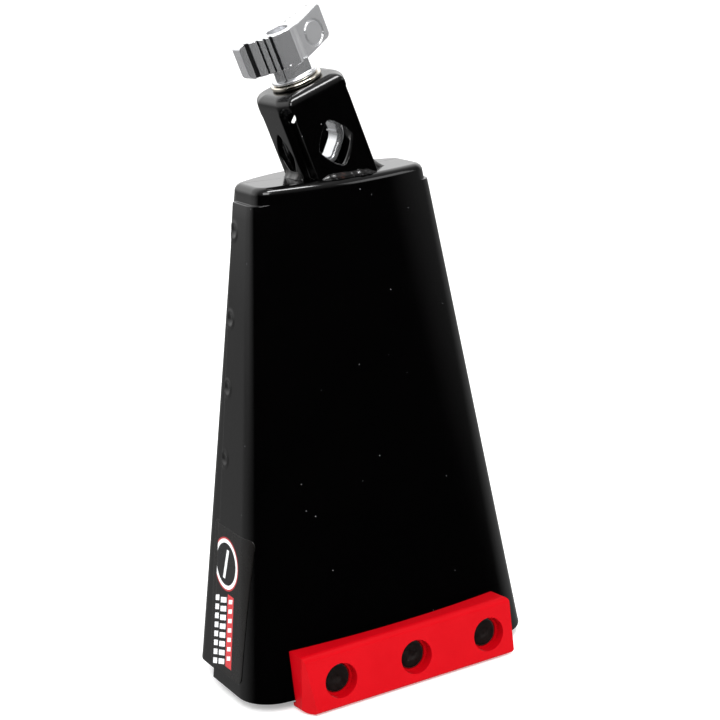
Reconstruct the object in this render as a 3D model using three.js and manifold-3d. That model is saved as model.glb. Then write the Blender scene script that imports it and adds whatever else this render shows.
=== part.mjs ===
// Mountable cowbell: a folded steel bell with a plastic ridge bar on its mouth and a
// box clamp on its closed end. An eye bolt inside the clamp is drawn up by a wing nut.
// Millimetres, +Z up. The bell stands on its mouth, and its striking face looks along -Y.
import * as THREE from 'three';
import Module from 'manifold-3d';
import { mergeVertices } from 'three/addons/utils/BufferGeometryUtils.js';

const wasm = await Module();
wasm.setup();

// ---------------------------------------------------------------- driving dimensions

const GAP = 0.3; // clearance between pieces that touch
const BIG = 400; // side of the blocks that trim other shapes

// Bell, folded from one steel blank. "side" is the depth of a narrow side between the
// corners, and each crown is how far a broad face bulges beyond those corners.
const BELL_HEIGHT = 203;
const SHEET = 1.5;
const BEND = 3.3; // outer radius from the closed end into the faces
const MOUTH = {
  width: 133.4, side: 56.8, frontCrown: 6.2, backCrown: 4.5, frontRadius: 15.5, backRadius: 7.4,
};
const CLOSED_END = {
  width: 79.6, side: 18.5, frontCrown: 7, backCrown: 13.4, frontRadius: 6.9, backRadius: 6.4,
};
const BACK_RIM_RISE = 2; // the back rim sits this much higher than the front rim
const SEAM_AT_MOUTH = 9.2; // where the front flap ends on the narrow side
const SEAM_AT_TOP = 7;
const LAP = 10; // how far the back flap runs on under the front flap
const FLAP_TOP = 6.5; // the front flap stops this far below the closed end

// Ridge bar on the front rim, in the plane of the front face
const BAR_LEFT = -49.4;
const BAR_RIGHT = 48.6;
const BAR_TOP = 21.2;
const BAR_BOTTOM = -3.6;
const BAR_THICKNESS = 8;
const BAR_LIP = 1.9; // how far the lip reaches back under the rim
const BAR_LIP_TOP = -0.8;
const BAR_CORNER = 1.6;
const BAR_END_SLANT_TOP = 0.5; // how far the left end is cut back at the face, at the top
const BAR_END_SLANT_BOTTOM = 4; // and at the bottom
const RIVET_X = [-33.5, 1.7, 36.9];
const RIVET_Z = 7.6;
const RIVET_SHANK = 4.8;
const RIVET_HEAD = 11.6;
const RIVET_HEAD_HEIGHT = 1.3;
const RIVET_TAIL = 7.6;
const RIVET_TAIL_HEIGHT = 1.9;
const COUNTERBORE = 14.4;
const COUNTERBORE_FLOOR = 2.4; // plastic left under the rivet's head
const COUNTERBORE_LEDGE = 12.4; // diameter of the lower step
const COUNTERBORE_STEP = 1.2; // height of that step above the floor

// Clamp bracket: a plate with four legs folded down, leaning towards -X
const LEAN = THREE.MathUtils.degToRad(18.6);
const BRACKET_FOOT = [1.4, 1.7]; // where its axis meets the closed end
const BRACKET_WIDTH = 31.4; // along X
const BRACKET_DEPTH = 29; // along Y
const BRACKET_HEIGHT = 39.1;
const BRACKET_SHEET = 2.6;
const BRACKET_BEND = 4.2;
const FRONT_LEG = 25.2; // width of the front and back legs
const SIDE_LEG = 15.6; // width of the left and right legs
const SLOT_TOP = 7.5; // centre of the arched slot ends, below the plate
const SLOT_ARCH = 3.6;
const ROD_HEIGHT = 14.6; // centre of the rod holes above the closed end
const FRONT_HOLE = [7.9, 9.6]; // half width and half height
const SIDE_HOLE = [6, 9.4];
const HOLE_FULLNESS = 1.3; // 1 is a diamond, 2 an ellipse
const PLATE_HOLE = 8.9;

// Eye bolt, washer and wing nut on the bracket's axis, heights above the closed end
const EYE_RADIUS = 6.9; // the round upper part of the opening
const EYE_WALL = 2.9;
const EYE_WIDTH = 9; // along the rod
const EYE_CENTRE = 16;
const EYE_POINT_RADIUS = 2; // rounding at the bottom of the V
const THREAD = 7.9;
const THREAD_END = 58.6;
const WASHER_OUTER = 20.5;
const WASHER_THICKNESS = 1.6;
const NUT_BORE = 8.7;
const NUT_FLANGE = 18.6;
const NUT_FLANGE_HEIGHT = 1.5;
const NUT_HUB = 16.4;
const NUT_HUB_FLATS = 14.6;
const NUT_HUB_HEIGHT = 5.9;
const NUT_BARREL = 16;
const WING_REACH = 20.5;
const WING_TURN = THREE.MathUtils.degToRad(6); // as it stands, the left wing a little forward
const WING_THICKNESS = 7.8;
const WING_CENTRE_HEIGHT = 14;
const WING_END_RISE_BOTTOM = 2.2;
const WING_END_RISE_TOP = 2.2;
const WING_CORNER = 2.6;
const GRIP_GROOVES = [7.2, 9.3, 12.1, 16.4]; // distances from the axis
const GRIP_GROOVE = [0.9, 0.7]; // width and depth

// Label on the left narrow side
const LABEL_THICKNESS = 0.3;
const LABEL_Y = [-18.2, 15.4];
const LABEL_Z = [5.6, 66.4];
const LABEL_CORNER = 3;

// ---------------------------------------------------------------- materials

const MATERIALS = {
  blackPaint: new THREE.MeshStandardMaterial({ color: 0x0b0b0d, roughness: 0.25, metalness: 0.1 }),
  bracketPaint: new THREE.MeshStandardMaterial({ color: 0x121214, roughness: 0.35, metalness: 0.1 }),
  weld: new THREE.MeshStandardMaterial({ color: 0x1c1a1a, roughness: 0.5, metalness: 0.3 }),
  chrome: new THREE.MeshStandardMaterial({ color: 0xd2d4d8, roughness: 0.12, metalness: 1 }),
  nickel: new THREE.MeshStandardMaterial({ color: 0xcfc4ae, roughness: 0.2, metalness: 1 }),
  redPlastic: new THREE.MeshStandardMaterial({ color: 0xe01222, roughness: 0.4, metalness: 0 }),
  rivet: new THREE.MeshStandardMaterial({ color: 0x2a1a16, roughness: 0.45, metalness: 0.6 }),
  label: new THREE.MeshStandardMaterial({ color: 0x2e2a2b, roughness: 0.35, metalness: 0 }),
};

// ---------------------------------------------------------------- solids and meshes

function solid(geometry) {
  const bare = geometry.clone();
  bare.deleteAttribute('normal');
  bare.deleteAttribute('uv');
  const merged = mergeVertices(bare, 1e-4);
  return new wasm.Manifold(new wasm.Mesh({
    numProp: 3,
    vertProperties: new Float32Array(merged.attributes.position.array),
    triVerts: new Uint32Array(merged.index.array),
  }));
}

function toMesh(manifold, name, material) {
  const { vertProperties, triVerts } = manifold.getMesh();
  const geometry = new THREE.BufferGeometry();
  geometry.setAttribute('position', new THREE.BufferAttribute(vertProperties, 3));
  geometry.setIndex(new THREE.BufferAttribute(triVerts, 1));
  geometry.computeVertexNormals();
  const mesh = new THREE.Mesh(geometry, material);
  mesh.name = name;
  return mesh;
}

function box([x0, x1], [y0, y1], [z0, z1]) {
  const geometry = new THREE.BoxGeometry(x1 - x0, y1 - y0, z1 - z0);
  return geometry.translate((x0 + x1) / 2, (y0 + y1) / 2, (z0 + z1) / 2);
}

// A cylinder along Z between two heights
function disc(diameter, z0, z1, sides = 32) {
  const geometry = new THREE.CylinderGeometry(diameter / 2, diameter / 2, z1 - z0, sides);
  return geometry.rotateX(Math.PI / 2).translate(0, 0, (z0 + z1) / 2);
}

// A shape drawn in X and Z, extruded along Y between two places
function slabAlongY(shape, y0, y1, curveSegments = 6) {
  const geometry = new THREE.ExtrudeGeometry(shape, { depth: y1 - y0, bevelEnabled: false, curveSegments });
  return geometry.rotateX(Math.PI / 2).translate(0, y1, 0);
}

// A shape drawn in Y and Z, extruded along X between two places
function slabAlongX(shape, x0, x1, curveSegments = 6) {
  const geometry = new THREE.ExtrudeGeometry(shape, { depth: x1 - x0, bevelEnabled: false, curveSegments });
  return geometry.rotateX(Math.PI / 2).rotateZ(Math.PI / 2).translate(x0, 0, 0);
}

// A closed skin through rings of equally many points, capped at both ends
function loft(rings) {
  const count = rings[0].length;
  const points = rings.flat();
  const first = points.length;
  const triangles = [];
  for (let ring = 0; ring + 1 < rings.length; ring += 1) {
    for (let i = 0; i < count; i += 1) {
      const a = ring * count + i;
      const b = ring * count + ((i + 1) % count);
      triangles.push(a, b, b + count, a, b + count, a + count);
    }
  }
  [0, rings.length - 1].forEach((ring, end) => {
    const centre = new THREE.Vector3();
    rings[ring].forEach((point) => centre.addScaledVector(point, 1 / count));
    points.push(centre);
    for (let i = 0; i < count; i += 1) {
      const a = ring * count + i;
      const b = ring * count + ((i + 1) % count);
      triangles.push(...(end === 0 ? [first, b, a] : [first + 1, a, b]));
    }
  });
  const geometry = new THREE.BufferGeometry().setFromPoints(points);
  geometry.setIndex(triangles);
  return geometry;
}

// ---------------------------------------------------------------- bell

function bellShape(z, sideInset) {
  const blend = z / BELL_HEIGHT;
  const shape = {};
  for (const key of Object.keys(MOUTH)) {
    shape[key] = THREE.MathUtils.lerp(MOUTH[key], CLOSED_END[key], blend);
  }
  shape.sideInset = sideInset;
  return shape;
}

// The circle of a broad face's crown, and the corner circle that meets it and the side
function crown(shape, bulge, radius) {
  const half = shape.width / 2;
  const crownRadius = (half * half + bulge * bulge) / (2 * bulge);
  const crownCentre = shape.side / 2 + bulge - crownRadius;
  const cornerX = half - shape.sideInset - radius;
  const cornerY = crownCentre + Math.sqrt((crownRadius - radius) ** 2 - cornerX ** 2);
  const meeting = Math.atan2(cornerY - crownCentre, cornerX);
  return { crownRadius, crownCentre, cornerX, cornerY, meeting, radius };
}

// The bell's plan outline at one height, anticlockwise from the front left corner
function bellRing(z, inset, shape) {
  const front = crown(shape, shape.frontCrown, shape.frontRadius);
  const back = crown(shape, shape.backCrown, shape.backRadius);
  const points = [];
  const arc = (x, y, radius, from, to, steps) => {
    for (let i = 0; i <= steps; i += 1) {
      const angle = THREE.MathUtils.lerp(from, to, i / steps);
      points.push(new THREE.Vector3(x + radius * Math.cos(angle), y + radius * Math.sin(angle), z));
    }
  };
  const corner = (face, x, y, from, to) => arc(x, y, face.radius - inset, from, to, 5);
  const bulge = (face, y, from, to) => {
    const step = (to - from) / 10;
    arc(0, y, face.crownRadius - inset, from + step, to - step, 8);
  };
  corner(front, -front.cornerX, -front.cornerY, Math.PI, Math.PI + front.meeting);
  bulge(front, -front.crownCentre, Math.PI + front.meeting, 2 * Math.PI - front.meeting);
  corner(front, front.cornerX, -front.cornerY, -front.meeting, 0);
  corner(back, back.cornerX, back.cornerY, 0, back.meeting);
  bulge(back, back.crownCentre, back.meeting, Math.PI - back.meeting);
  corner(back, -back.cornerX, back.cornerY, Math.PI - back.meeting, Math.PI);
  return points;
}

// The bell filled in: "inset" moves its whole surface inwards, "sideInset" its narrow sides
function bellBlock(inset, sideInset, bottom) {
  const bend = BEND - inset;
  const shoulder = BELL_HEIGHT - BEND;
  const shape = bellShape(shoulder, sideInset);
  const rings = [bellRing(bottom, inset, bellShape(bottom, sideInset))];
  const steps = 4;
  for (let i = 0; i <= steps; i += 1) {
    const angle = (i / steps) * (Math.PI / 2);
    rings.push(bellRing(shoulder + bend * Math.sin(angle), inset + bend * (1 - Math.cos(angle)), shape));
  }
  return solid(loft(rings));
}

// A hollow bell with an open mouth
function bellShell(sideInset) {
  return bellBlock(0, sideInset, 0).subtract(bellBlock(SHEET, sideInset, -1));
}

function seamAt(z) {
  return THREE.MathUtils.lerp(SEAM_AT_MOUTH, SEAM_AT_TOP, z / BELL_HEIGHT);
}

// Everything on the back side of the seam, moved towards the front by "shift"
function behindSeam(shift, bottom, top) {
  const region = new THREE.Shape([
    new THREE.Vector2(seamAt(bottom) - shift, bottom),
    new THREE.Vector2(BIG / 2, bottom),
    new THREE.Vector2(BIG / 2, top),
    new THREE.Vector2(seamAt(top) - shift, top),
  ]);
  return solid(slabAlongX(region, -BIG / 2, BIG / 2));
}

// The front face's slope, and where it is at the mouth
const FACE_FOOT = MOUTH.side / 2 + MOUTH.frontCrown;
const FACE_HEAD = CLOSED_END.side / 2 + CLOSED_END.frontCrown;
const FACE_SLOPE = Math.atan2(FACE_FOOT - FACE_HEAD, BELL_HEIGHT);

// From the ridge bar's own frame, with Z up the face and -Y out of it, to the bell's
function placeOnFace(object) {
  object.position.set(0, -FACE_FOOT, 0);
  object.rotation.x = -FACE_SLOPE;
  object.updateMatrix();
  return object;
}

function onFace(geometry) {
  return geometry.applyMatrix4(placeOnFace(new THREE.Object3D()).matrix);
}

// A hole or peg along the face's normal at one rivet, from "y0" to "y1"
function alongRivet(diameter, x, y0, y1, sides = 28) {
  return disc(diameter, -y1, -y0, sides).rotateX(Math.PI / 2).translate(x, 0, RIVET_Z);
}

function makeBell() {
  const narrow = SHEET + GAP;
  const flapTop = BELL_HEIGHT - FLAP_TOP;
  const broad = CLOSED_END.width / 2 - 8;
  // The back and the closed end, with their flaps on the inside of the lap
  const behind = behindSeam(LAP, BACK_RIM_RISE, BELL_HEIGHT + 1);
  const cap = solid(box([-BIG / 2, BIG / 2], [-BIG / 2, BIG / 2], [flapTop - 3.5, BELL_HEIGHT + 1]));
  const inner = bellShell(narrow).intersect(behind.add(cap));
  // The front, with its flaps on the outside
  const flaps = solid(box([-BIG / 2, BIG / 2], [-BIG / 2, BIG / 2], [-1, flapTop]));
  const face = solid(box([-broad, broad], [-BIG / 2, 0], [flapTop - 1, flapTop + 1]));
  const ahead = flaps.add(face).subtract(behindSeam(0, -2, BELL_HEIGHT + 1));
  let bell = inner.add(bellShell(0).intersect(ahead));
  for (const x of RIVET_X) {
    bell = bell.subtract(solid(onFace(alongRivet(RIVET_SHANK + 2 * GAP, x, -3, 6, 16))));
  }
  return toMesh(bell, 'bell_body', MATERIALS.blackPaint);
}

// ---------------------------------------------------------------- ridge bar and rivets

// The bar's section: a slab on the face with a lip that hooks back under the rim
function barSection() {
  const face = -BAR_THICKNESS;
  const r = BAR_CORNER;
  const section = new THREE.Shape();
  section.moveTo(5, BAR_TOP);
  section.lineTo(face + r, BAR_TOP);
  section.absarc(face + r, BAR_TOP - r, r, Math.PI / 2, Math.PI, false);
  section.absarc(face + r, BAR_BOTTOM + r, r, Math.PI, 1.5 * Math.PI, false);
  section.absarc(BAR_LIP - r, BAR_BOTTOM + r, r, -Math.PI / 2, 0, false);
  section.lineTo(BAR_LIP, BAR_LIP_TOP);
  section.lineTo(0, BAR_LIP_TOP);
  section.lineTo(0, 0.5);
  section.lineTo(5, 0.5);
  section.closePath();
  return section;
}

// The left end is cut back in a plane that slants away from the face towards the bottom
function barEndCut() {
  const top = new THREE.Vector3(BAR_LEFT + BAR_END_SLANT_TOP, -BAR_THICKNESS, BAR_TOP);
  const bottom = new THREE.Vector3(BAR_LEFT + BAR_END_SLANT_BOTTOM, -BAR_THICKNESS, BAR_BOTTOM);
  const back = new THREE.Vector3(BAR_LEFT, 0, (BAR_TOP + BAR_BOTTOM) / 2);
  const plane = new THREE.Plane().setFromCoplanarPoints(top, back, bottom);
  const block = box([-10, 10], [-BIG / 4, BIG / 4], [-BIG / 4, BIG / 4]);
  const outwards = new THREE.Vector3(-1, 0, 0);
  const normal = plane.normal.dot(outwards) > 0 ? plane.normal : plane.normal.negate();
  block.translate(-10, 0, 0);
  block.applyQuaternion(new THREE.Quaternion().setFromUnitVectors(outwards, normal));
  return block.translate(back.x, back.y, back.z);
}

function makeRidgeBar() {
  let bar = solid(slabAlongX(barSection(), BAR_LEFT, BAR_RIGHT, 4));
  bar = bar.subtract(solid(barEndCut()));
  const floor = -COUNTERBORE_FLOOR;
  for (const x of RIVET_X) {
    bar = bar.subtract(solid(alongRivet(RIVET_SHANK + 2 * GAP, x, -10, 6, 16)));
    bar = bar.subtract(solid(alongRivet(COUNTERBORE_LEDGE, x, -10, floor)));
    bar = bar.subtract(solid(alongRivet(COUNTERBORE, x, -10, floor - COUNTERBORE_STEP)));
  }
  // The bar's back follows the crown of the bell's front face
  const clearance = placeOnFace(new THREE.Object3D()).matrix.clone().invert();
  const bell = bellBlock(-GAP, 0, -GAP);
  const { vertProperties, triVerts } = bell.getMesh();
  const surface = new THREE.BufferGeometry();
  surface.setAttribute('position', new THREE.BufferAttribute(vertProperties, 3));
  surface.setIndex(new THREE.BufferAttribute(triVerts, 1));
  bar = bar.subtract(solid(surface.applyMatrix4(clearance)));
  return toMesh(bar, 'ridge_bar', MATERIALS.redPlastic);
}

// How far the crowned face lies behind its middle at a distance from it
function crownDrop(distance) {
  const { crownRadius } = crown(bellShape(0, 0), MOUTH.frontCrown, MOUTH.frontRadius);
  return crownRadius - Math.sqrt(crownRadius ** 2 - distance ** 2);
}

// A domed head in the counterbore, a shank through the sheet and a set tail inside
function makeRivet(x, name) {
  const radius = RIVET_SHANK / 2;
  const head = -COUNTERBORE_FLOOR - GAP;
  const tail = crownDrop(Math.abs(x) + RIVET_TAIL / 2) + SHEET + GAP;
  const half = RIVET_HEAD / 2;
  const profile = [
    [0, tail + RIVET_TAIL_HEIGHT], [RIVET_TAIL / 2 - 0.8, tail + RIVET_TAIL_HEIGHT],
    [RIVET_TAIL / 2, tail + 1], [RIVET_TAIL / 2, tail], [radius, tail],
    [radius, head], [half, head], [half, head - 0.5],
    [half * 0.86, head - RIVET_HEAD_HEIGHT * 0.68], [half * 0.6, head - RIVET_HEAD_HEIGHT * 0.9],
    [0, head - RIVET_HEAD_HEIGHT],
  ].map(([r, y]) => new THREE.Vector2(r, y));
  const geometry = new THREE.LatheGeometry(profile.reverse(), 24);
  return toMesh(solid(geometry).translate([x, 0, RIVET_Z]), name, MATERIALS.rivet);
}

// ---------------------------------------------------------------- label

function makeLabel() {
  const [y0, y1] = LABEL_Y;
  const [z0, z1] = LABEL_Z;
  const r = LABEL_CORNER;
  const outline = new THREE.Shape();
  outline.absarc(y0 + r, z0 + r, r, Math.PI, 1.5 * Math.PI, false);
  outline.absarc(y1 - r, z0 + r, r, 1.5 * Math.PI, 2 * Math.PI, false);
  outline.absarc(y1 - r, z1 - r, r, 0, Math.PI / 2, false);
  outline.absarc(y0 + r, z1 - r, r, Math.PI / 2, Math.PI, false);
  const patch = solid(slabAlongX(outline, -BIG / 2, 0));
  const skin = bellBlock(-GAP - LABEL_THICKNESS, 0, -1).subtract(bellBlock(-GAP, 0, -2));
  return toMesh(skin.intersect(patch), 'side_label', MATERIALS.label);
}

// ---------------------------------------------------------------- clamp bracket and welds

// A ring at one height whose corners are cut off between the legs' edges
function squareRing(width, depth, z) {
  const x = width / 2;
  const y = depth / 2;
  const a = (BRACKET_WIDTH - FRONT_LEG) / 2 - 0.2;
  const b = (BRACKET_DEPTH - SIDE_LEG) / 2 - 0.4;
  const corners = [[-x, -y + b], [-x + a, -y], [x - a, -y], [x, -y + b],
    [x, y - b], [x - a, y], [-x + a, y], [-x, y - b]];
  return corners.map(([px, py]) => new THREE.Vector3(px, py, z));
}

// A block whose top edges are rounded over
function bentBlock(width, depth, top, bend) {
  const rings = [squareRing(width, depth, -20)];
  const steps = 4;
  for (let i = 0; i <= steps; i += 1) {
    const angle = (i / steps) * (Math.PI / 2);
    const inset = 2 * bend * (1 - Math.cos(angle));
    rings.push(squareRing(width - inset, depth - inset, top - bend + bend * Math.sin(angle)));
  }
  return solid(loft(rings));
}

// A rounded diamond, |x/a|^n + |z/b|^n = 1
function rodHole([a, b]) {
  const points = [];
  const power = 2 / HOLE_FULLNESS;
  for (let i = 0; i < 32; i += 1) {
    const angle = (i / 32) * 2 * Math.PI;
    const [c, s] = [Math.cos(angle), Math.sin(angle)];
    const x = a * Math.sign(c) * Math.abs(c) ** power;
    const z = b * Math.sign(s) * Math.abs(s) ** power;
    points.push(new THREE.Vector2(x, ROD_HEIGHT + z));
  }
  return new THREE.Shape(points);
}

// All that is more than "gap" above the closed end, in the leaning frame
function aboveClosedEnd(gap) {
  const block = box([-BIG / 2, BIG / 2], [-BIG / 2, BIG / 2], [gap, BIG]);
  return solid(block.rotateY(LEAN));
}

// The open corner between two legs, with an arched top
function cornerSlot(sx, sy) {
  const [x0, x1] = [FRONT_LEG / 2, BRACKET_WIDTH / 2];
  const [y0, y1] = [SIDE_LEG / 2, BRACKET_DEPTH / 2];
  const top = BRACKET_HEIGHT - SLOT_TOP;
  const column = box([x0, x1 + 5], [y0, y1 + 5], [-20, top]);
  const arch = disc(2 * SLOT_ARCH, -12, 12, 20).rotateY(Math.PI / 2);
  arch.rotateZ(Math.atan2(x1 - x0, y1 - y0));
  arch.translate((x0 + x1) / 2, (y0 + y1) / 2, top);
  return solid(column).add(solid(arch)).scale([sx, sy, 1]);
}

function makeBracket() {
  const inner = 2 * BRACKET_SHEET;
  let bracket = bentBlock(BRACKET_WIDTH, BRACKET_DEPTH, BRACKET_HEIGHT, BRACKET_BEND).subtract(
    bentBlock(BRACKET_WIDTH - inner, BRACKET_DEPTH - inner, BRACKET_HEIGHT - BRACKET_SHEET,
      BRACKET_BEND - BRACKET_SHEET),
  );
  for (const sx of [-1, 1]) {
    for (const sy of [-1, 1]) bracket = bracket.subtract(cornerSlot(sx, sy));
  }
  bracket = bracket.subtract(solid(slabAlongY(rodHole(FRONT_HOLE), -30, 30)));
  bracket = bracket.subtract(solid(slabAlongX(rodHole(SIDE_HOLE), -30, 30)));
  bracket = bracket.subtract(solid(disc(PLATE_HOLE, 20, 60, 28)));
  bracket = bracket.intersect(aboveClosedEnd(GAP));
  return toMesh(bracket, 'mount_bracket', MATERIALS.bracketPaint);
}

// A weld fillet along one leg's foot: a hollow-faced wedge in the leaning frame
function weldFillet(size, rise, from, to) {
  const wedge = new THREE.Shape();
  wedge.moveTo(0, -3);
  wedge.lineTo(size, -3);
  wedge.lineTo(size, 0.4);
  wedge.quadraticCurveTo(size * 0.3, rise * 0.25, 0, rise);
  wedge.closePath();
  return slabAlongY(wedge, from, to, 5);
}

function makeWeld(name, fillet, place) {
  const weld = solid(place(fillet)).intersect(aboveClosedEnd(GAP));
  return toMesh(weld, name, MATERIALS.weld);
}

function makeWelds() {
  const x = BRACKET_WIDTH / 2 + GAP;
  const y = BRACKET_DEPTH / 2 + GAP;
  const side = SIDE_LEG / 2 - 0.5;
  const front = FRONT_LEG / 2 - 0.5;
  // The closed end falls away on the right and rises on the left of the leaning axis
  const slopeRise = Math.tan(LEAN) * x;
  return [
    makeWeld('bracket_weld_right', weldFillet(5.2, 6.4, -side, side),
      (g) => g.translate(x, 0, -slopeRise)),
    makeWeld('bracket_weld_left', weldFillet(2.2, 3, -side, side),
      (g) => g.rotateZ(Math.PI).translate(-x, 0, slopeRise)),
    makeWeld('bracket_weld_front', weldFillet(2.6, 3, -front, front),
      (g) => g.rotateZ(-Math.PI / 2).rotateY(LEAN).translate(0, -y, 0)),
    makeWeld('bracket_weld_back', weldFillet(2.6, 3, -front, front),
      (g) => g.rotateZ(Math.PI / 2).rotateY(LEAN).translate(0, y, 0)),
  ];
}

// ---------------------------------------------------------------- eye bolt, washer, wing nut

// Round above and V-shaped below, grown outwards by "wall"
function eyeOutline(wall) {
  const radius = EYE_RADIUS + wall;
  const point = EYE_POINT_RADIUS + wall;
  const pointCentre = EYE_CENTRE - (radius - point) * Math.SQRT2;
  const shape = new THREE.Shape();
  shape.absarc(0, EYE_CENTRE, radius, -Math.PI / 4, 1.25 * Math.PI, false);
  shape.absarc(0, pointCentre, point, 1.25 * Math.PI, 1.75 * Math.PI, false);
  shape.closePath();
  return shape;
}

function makeEyeBolt() {
  const half = EYE_WIDTH / 2;
  const eyeTop = EYE_CENTRE + EYE_RADIUS;
  const tip = 0.8;
  const shank = new THREE.LatheGeometry([
    [0, eyeTop + 1], [THREAD / 2 + 0.6, eyeTop + 1], [THREAD / 2 + 0.6, eyeTop + EYE_WALL + 0.8],
    [THREAD / 2, eyeTop + EYE_WALL + 1.6], [THREAD / 2, THREAD_END - tip],
    [THREAD / 2 - tip, THREAD_END], [0, THREAD_END],
  ].map(([r, y]) => new THREE.Vector2(r, y)), 28).rotateX(Math.PI / 2);
  const eye = solid(slabAlongY(eyeOutline(EYE_WALL), -half, half, 20));
  const opening = solid(slabAlongY(eyeOutline(0), -half - 1, half + 1, 20));
  const bolt = eye.add(solid(shank)).subtract(opening);
  return toMesh(bolt, 'eye_bolt', MATERIALS.chrome);
}

const WASHER_BOTTOM = BRACKET_HEIGHT + GAP;
const NUT_BOTTOM = WASHER_BOTTOM + WASHER_THICKNESS + GAP;
const WING_BOTTOM = NUT_BOTTOM + NUT_HUB_HEIGHT;

function makeWasher() {
  const top = WASHER_BOTTOM + WASHER_THICKNESS;
  const ring = new THREE.LatheGeometry([
    [PLATE_HOLE / 2, WASHER_BOTTOM], [WASHER_OUTER / 2 - 0.3, WASHER_BOTTOM],
    [WASHER_OUTER / 2, WASHER_BOTTOM + 0.3], [WASHER_OUTER / 2, top - 0.3],
    [WASHER_OUTER / 2 - 0.3, top], [PLATE_HOLE / 2, top], [PLATE_HOLE / 2, WASHER_BOTTOM],
  ].map(([r, y]) => new THREE.Vector2(r, y)), 40).rotateX(Math.PI / 2);
  return toMesh(solid(ring), 'bolt_washer', MATERIALS.nickel);
}

// The wings from the front: both edges dip in the middle and rise to rounded ends
function wingOutline() {
  const bottom = WING_BOTTOM;
  const top = bottom + WING_CENTRE_HEIGHT;
  const low = bottom + WING_END_RISE_BOTTOM;
  const high = top + WING_END_RISE_TOP;
  const c = WING_CORNER;
  const end = WING_REACH;
  const shape = new THREE.Shape();
  shape.moveTo(-5, bottom);
  shape.lineTo(5, bottom);
  shape.quadraticCurveTo(10, bottom + 0.6, end - c, low);
  shape.quadraticCurveTo(end, low + 0.4, end, low + c);
  shape.lineTo(end, high - c);
  shape.quadraticCurveTo(end, high, end - c, high);
  shape.quadraticCurveTo(8, top, 5, top);
  shape.lineTo(-5, top);
  shape.quadraticCurveTo(-8, top, -end + c, high);
  shape.quadraticCurveTo(-end, high, -end, high - c);
  shape.lineTo(-end, low + c);
  shape.quadraticCurveTo(-end, low + 0.4, -end + c, low);
  shape.quadraticCurveTo(-10, bottom + 0.6, -5, bottom);
  return shape;
}

function makeWingNut() {
  const top = WING_BOTTOM + WING_CENTRE_HEIGHT;
  const flats = disc(NUT_HUB_FLATS / Math.cos(Math.PI / 6), NUT_BOTTOM, WING_BOTTOM + 1, 6);
  const hub = solid(flats).intersect(solid(disc(NUT_HUB, NUT_BOTTOM, WING_BOTTOM + 1)));
  const flange = solid(disc(NUT_FLANGE, NUT_BOTTOM, NUT_BOTTOM + NUT_FLANGE_HEIGHT, 36));
  const barrel = solid(disc(NUT_BARREL, WING_BOTTOM, top, 32));
  const half = WING_THICKNESS / 2;
  let nut = hub.add(flange).add(barrel).add(solid(slabAlongY(wingOutline(), -half, half, 5)));
  // Grip grooves on the pushed side of each wing: the left from the front, the right from behind
  const [width, depth] = GRIP_GROOVE;
  for (const side of [-1, 1]) {
    for (const distance of GRIP_GROOVES) {
      const x = side * distance;
      const y = side * half;
      const groove = box([x - width / 2, x + width / 2], [y - depth, y + depth], [WING_BOTTOM, BIG / 2]);
      nut = nut.subtract(solid(groove));
    }
  }
  nut = nut.subtract(solid(disc(NUT_BORE, NUT_BOTTOM - 5, top + 10, 28)));
  return toMesh(nut.rotate([0, 0, THREE.MathUtils.radToDeg(WING_TURN)]), 'wing_nut', MATERIALS.chrome);
}

// ---------------------------------------------------------------- assembly

const RIVET_NAMES = ['bar_rivet_left', 'bar_rivet_middle', 'bar_rivet_right'];
const barGroup = placeOnFace(new THREE.Group());
barGroup.add(makeRidgeBar(), ...RIVET_X.map((x, i) => makeRivet(x, RIVET_NAMES[i])));

const clampGroup = new THREE.Group();
clampGroup.position.set(BRACKET_FOOT[0], BRACKET_FOOT[1], BELL_HEIGHT);
clampGroup.rotation.y = -LEAN;
clampGroup.add(makeBracket(), ...makeWelds(), makeEyeBolt(), makeWasher(), makeWingNut());

const cowbell = new THREE.Group();
cowbell.add(makeBell(), makeLabel(), barGroup, clampGroup);

// The origin is the bottom centre of the whole object's box
const bounds = new THREE.Box3().setFromObject(cowbell, true);
const centre = bounds.getCenter(new THREE.Vector3());
cowbell.position.set(-centre.x, -centre.y, -bounds.min.z);

export default cowbell;
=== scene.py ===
# Looks of a mountable cowbell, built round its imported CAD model.
# Shapes are worked out in millimetres and written to meshes in metres, +Z up.
from collections import namedtuple
from math import atan2, cos, exp, hypot, pi, radians, sin, sqrt, tan

import bmesh
import bpy
import numpy as np
from mathutils import Matrix, Vector, noise


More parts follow.
